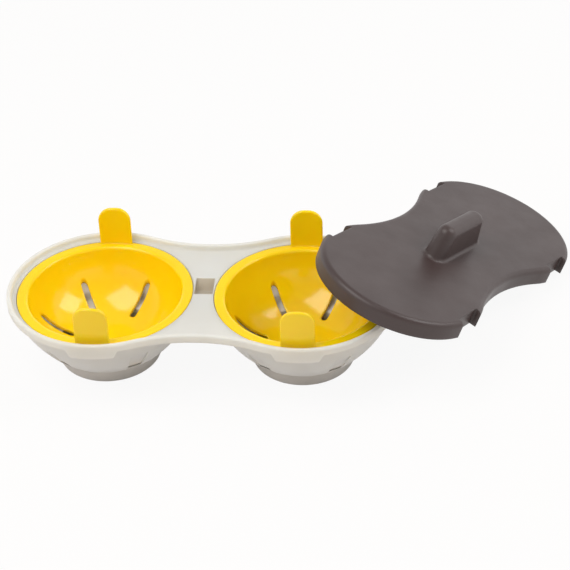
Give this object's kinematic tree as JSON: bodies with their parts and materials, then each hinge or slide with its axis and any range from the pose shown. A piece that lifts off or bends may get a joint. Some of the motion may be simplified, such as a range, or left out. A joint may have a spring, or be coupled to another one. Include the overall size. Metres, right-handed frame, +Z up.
{
  "type": "egg cooker",
  "caption": "Microwave egg poacher: a figure-eight tray with wells on grey feet, slotted yellow egg cups with lifting tabs, and a dark gripped lid leaned on the tray's end.",
  "frame": {"origin": "on the table, under the middle of the whole object's box, the leaned lid included", "axes": "+X along the tray towards the leaned lid, +Y to the back, +Z up"},
  "size_m": [0.3122, 0.193, 0.0701],
  "materials": {
    "tray_plastic": "stone off-white, satin",
    "foot_rubber": "warm grey, matt",
    "cup_plastic": "egg-yolk yellow, half gloss",
    "lid_plastic": "dark brown, satin"
  },
  "bodies": {
    "tray": {"tray": "tray_plastic", "left_foot": "foot_rubber", "right_foot": "foot_rubber"},
    "left_cup": {"left_cup": "cup_plastic"},
    "right_cup": {"right_cup": "cup_plastic"},
    "lid": {"lid": "lid_plastic"}
  },
  "joints": [
    {"name": "left_cup_lift", "type": "slide", "parent": "tray", "child": "left_cup", "axis": [0, 0, 1], "range_m": [0, 0.07]},
    {"name": "right_cup_lift", "type": "slide", "parent": "tray", "child": "right_cup", "axis": [0, 0, 1], "range_m": [0, 0.07]},
    {"name": "lid_lift", "type": "slide", "parent": "right_cup", "child": "lid", "axis": [0, 0, 1], "range_m": [0, 0.1]}
  ]
}
